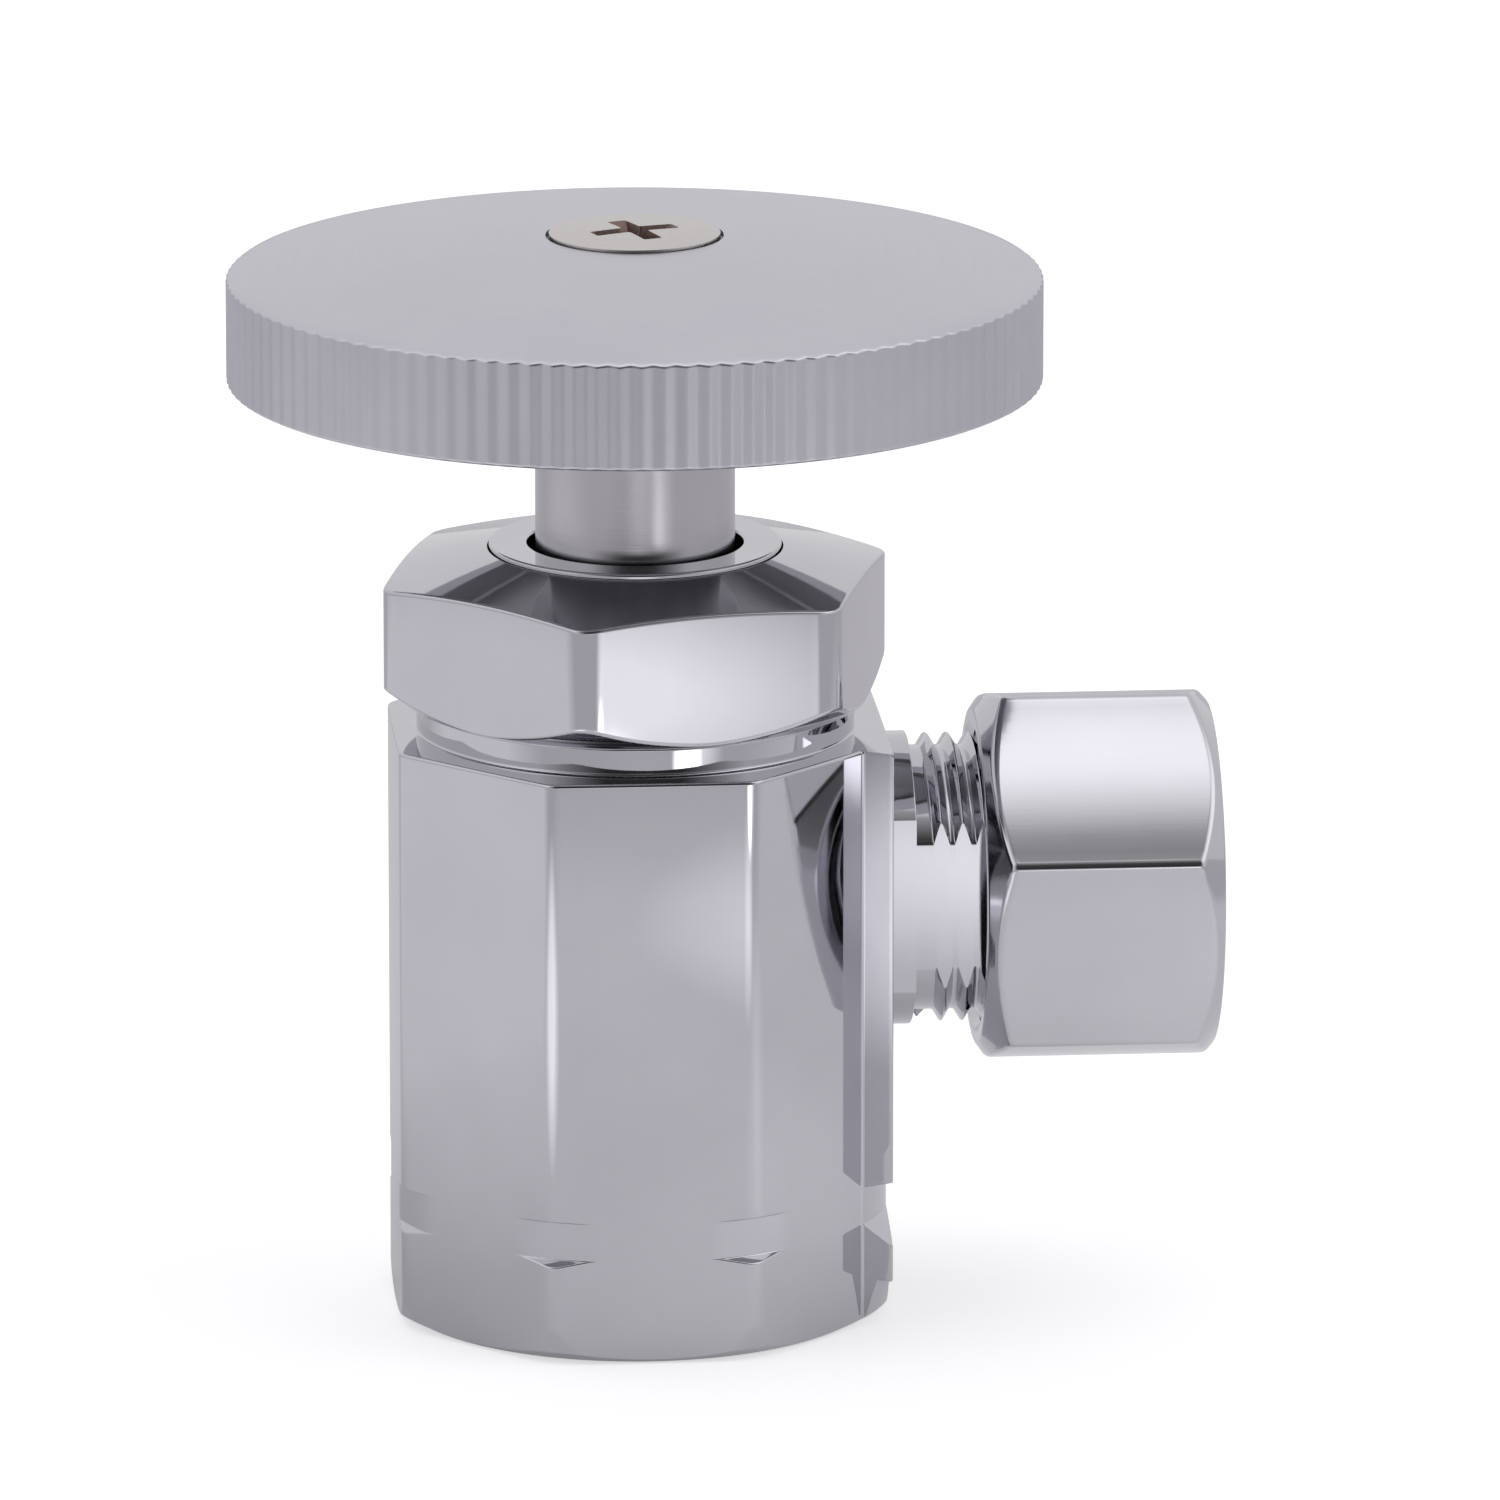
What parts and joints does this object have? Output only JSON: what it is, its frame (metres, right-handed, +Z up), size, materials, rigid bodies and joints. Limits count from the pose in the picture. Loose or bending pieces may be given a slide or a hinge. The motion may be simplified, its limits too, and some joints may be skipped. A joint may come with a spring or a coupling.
{
  "type": "angle stop valve",
  "caption": "Angle stop valve with an octagonal body, hexagon bonnet, ribbed hand wheel and a compression outlet at its side.",
  "frame": {"origin": "on the stem's axis, in the end face of the inlet at the foot of the body", "axes": "+Z up along the stem from inlet to handle, +X along the outlet, +Y to the side"},
  "size_m": [0.0484, 0.04, 0.0542],
  "materials": {
    "polished_chrome": "polished chrome plate on brass",
    "satin_chrome": "satin brushed chrome plate",
    "turned_chrome": "fine turned marks under chrome plate",
    "nickel": "nickel plated screw, slightly warm",
    "raw_brass": "machined brass",
    "spring_steel": "bright spring steel",
    "black_rubber": "moulded black rubber",
    "red_fibre": "pressed vulcanised fibre"
  },
  "bodies": {
    "root": {"body": "polished_chrome", "bonnet": "polished_chrome", "bonnet_gasket": "red_fibre", "packing_washer": "raw_brass", "packing_ring": "black_rubber", "gland_bush": "polished_chrome"},
    "valve_disc": {"disc_holder": "raw_brass", "seat_washer": "black_rubber", "washer_cup": "raw_brass", "washer_screw": "raw_brass"},
    "spindle": {"stem": "turned_chrome", "holder_clip": "spring_steel", "handle": "satin_chrome", "handle_screw": "nickel"},
    "sleeve": {"ferrule": "raw_brass"},
    "nut": {"compression_nut": "polished_chrome"}
  },
  "joints": [
    {"name": "stem_travel", "type": "slide", "parent": "root", "child": "valve_disc", "axis": [0, 0, 1], "range_m": [-0.004, 0]},
    {"name": "handle_turn", "type": "hinge", "parent": "valve_disc", "child": "spindle", "pos_m": [0, 0, 0.0446], "axis": [0, 0, 1], "range_deg": [-720, 0]},
    {"name": "nut_travel", "type": "slide", "parent": "root", "child": "sleeve", "axis": [1, 0, 0], "range_m": [0, 0.00529]},
    {"name": "nut_turn", "type": "hinge", "parent": "sleeve", "child": "nut", "pos_m": [0.0225, 0, 0.0212], "axis": [1, 0, 0], "range_deg": [0, 1800]}
  ],
  "couplings": [
    {"joint": "handle_turn", "follows": "stem_travel", "rad_per_m": 3141.6},
    {"joint": "nut_turn", "follows": "nut_travel", "rad_per_m": 5936.8}
  ]
}
